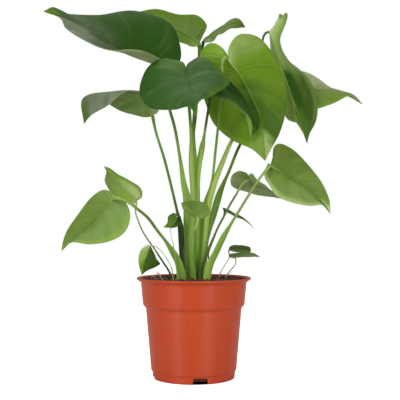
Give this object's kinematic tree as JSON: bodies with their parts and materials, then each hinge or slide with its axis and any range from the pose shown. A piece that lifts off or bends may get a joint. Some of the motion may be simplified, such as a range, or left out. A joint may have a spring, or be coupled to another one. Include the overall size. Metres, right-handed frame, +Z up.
{
  "type": "potted swiss cheese plant",
  "caption": "Young potted swiss cheese plant: whole heart-shaped glossy leaves on tall sheathed stalks, standing in soil in a round terracotta-coloured plastic nursery pot.",
  "frame": {"origin": "centre of the pot's underside, on the middle pad that touches the surface the pot stands on", "axes": "+Z up the pot's axis towards the leaves, -Y towards the front from which the picture was taken, +X to the right of that view"},
  "size_m": [0.5431, 0.2917, 0.6453],
  "materials": {
    "pot_plastic": "satin terracotta-coloured moulded plastic with faint vertical sheen",
    "potting_soil": null,
    "leaf": null,
    "young_leaf": null
  },
  "bodies": {
    "root": {"pot": "pot_plastic", "soil": "potting_soil", "leaf_upper_left": "leaf", "leaf_upper_back": "leaf", "leaf_upper_edge": "leaf", "leaf_centre": "leaf", "leaf_centre_right": "leaf", "leaf_large_right": "leaf", "leaf_tall_right": "leaf", "leaf_far_right": "leaf", "leaf_middle_left": "leaf", "leaf_lower_left": "leaf", "leaf_lower_left_upper": "leaf", "leaf_lower_right": "leaf", "leaf_curled": "leaf", "young_leaf_centre": "young_leaf", "young_leaf_round": "young_leaf", "young_leaf_rim_left": "young_leaf", "young_leaf_slim": "young_leaf", "young_leaf_rim_upper": "young_leaf", "young_leaf_rim_lower": "young_leaf"}
  },
  "joints": []
}
